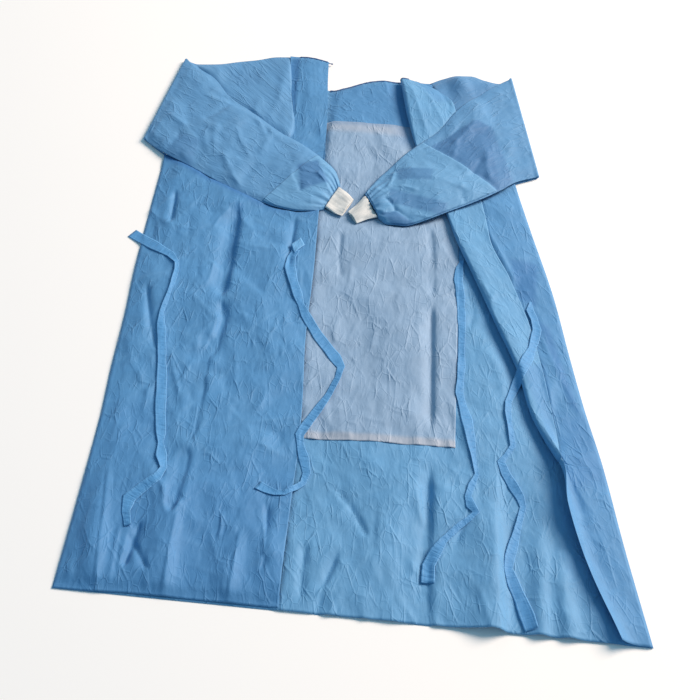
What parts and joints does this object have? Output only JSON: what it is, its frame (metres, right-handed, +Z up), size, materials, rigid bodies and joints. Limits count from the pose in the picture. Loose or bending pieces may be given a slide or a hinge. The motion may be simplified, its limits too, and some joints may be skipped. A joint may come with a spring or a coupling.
{
  "type": "surgical gown",
  "caption": "Long-sleeved surgical gown of nonwoven cloth, laid flat with its back panels and sleeves folded over the front, with knit cuffs and waist ties.",
  "frame": {"origin": "middle of the gown's width and length, on the surface it lies on", "axes": "+Z up off the surface, +Y from the hem to the neck, +X to the right of someone who looks from the hem"},
  "size_m": [0.9058, 1.214, 0.0256],
  "materials": {
    "outer_nonwoven": "matte nonwoven, slightly sheeny",
    "inner_face": "matte nonwoven, lighter inner face",
    "reinforcement": "smooth laminated nonwoven",
    "knit": "soft rib knit",
    "binding": "narrow woven binding",
    "tie_cloth": "matte nonwoven, sewn lengthwise"
  },
  "bodies": {
    "root": {"front_panel": "outer_nonwoven", "reinforcement_panel": "reinforcement", "left_back_panel": "outer_nonwoven", "right_back_panel": "inner_face", "left_sleeve": "outer_nonwoven", "right_sleeve": "outer_nonwoven", "left_sleeve_reinforcement": "reinforcement", "right_sleeve_reinforcement": "reinforcement", "left_cuff": "knit", "right_cuff": "knit", "neck_binding": "binding", "back_neck_binding": "binding", "right_back_neck_binding": "binding", "tie_1": "tie_cloth", "tie_2": "tie_cloth", "tie_2_patch": "tie_cloth", "tie_3": "tie_cloth", "tie_4": "tie_cloth"}
  },
  "joints": []
}
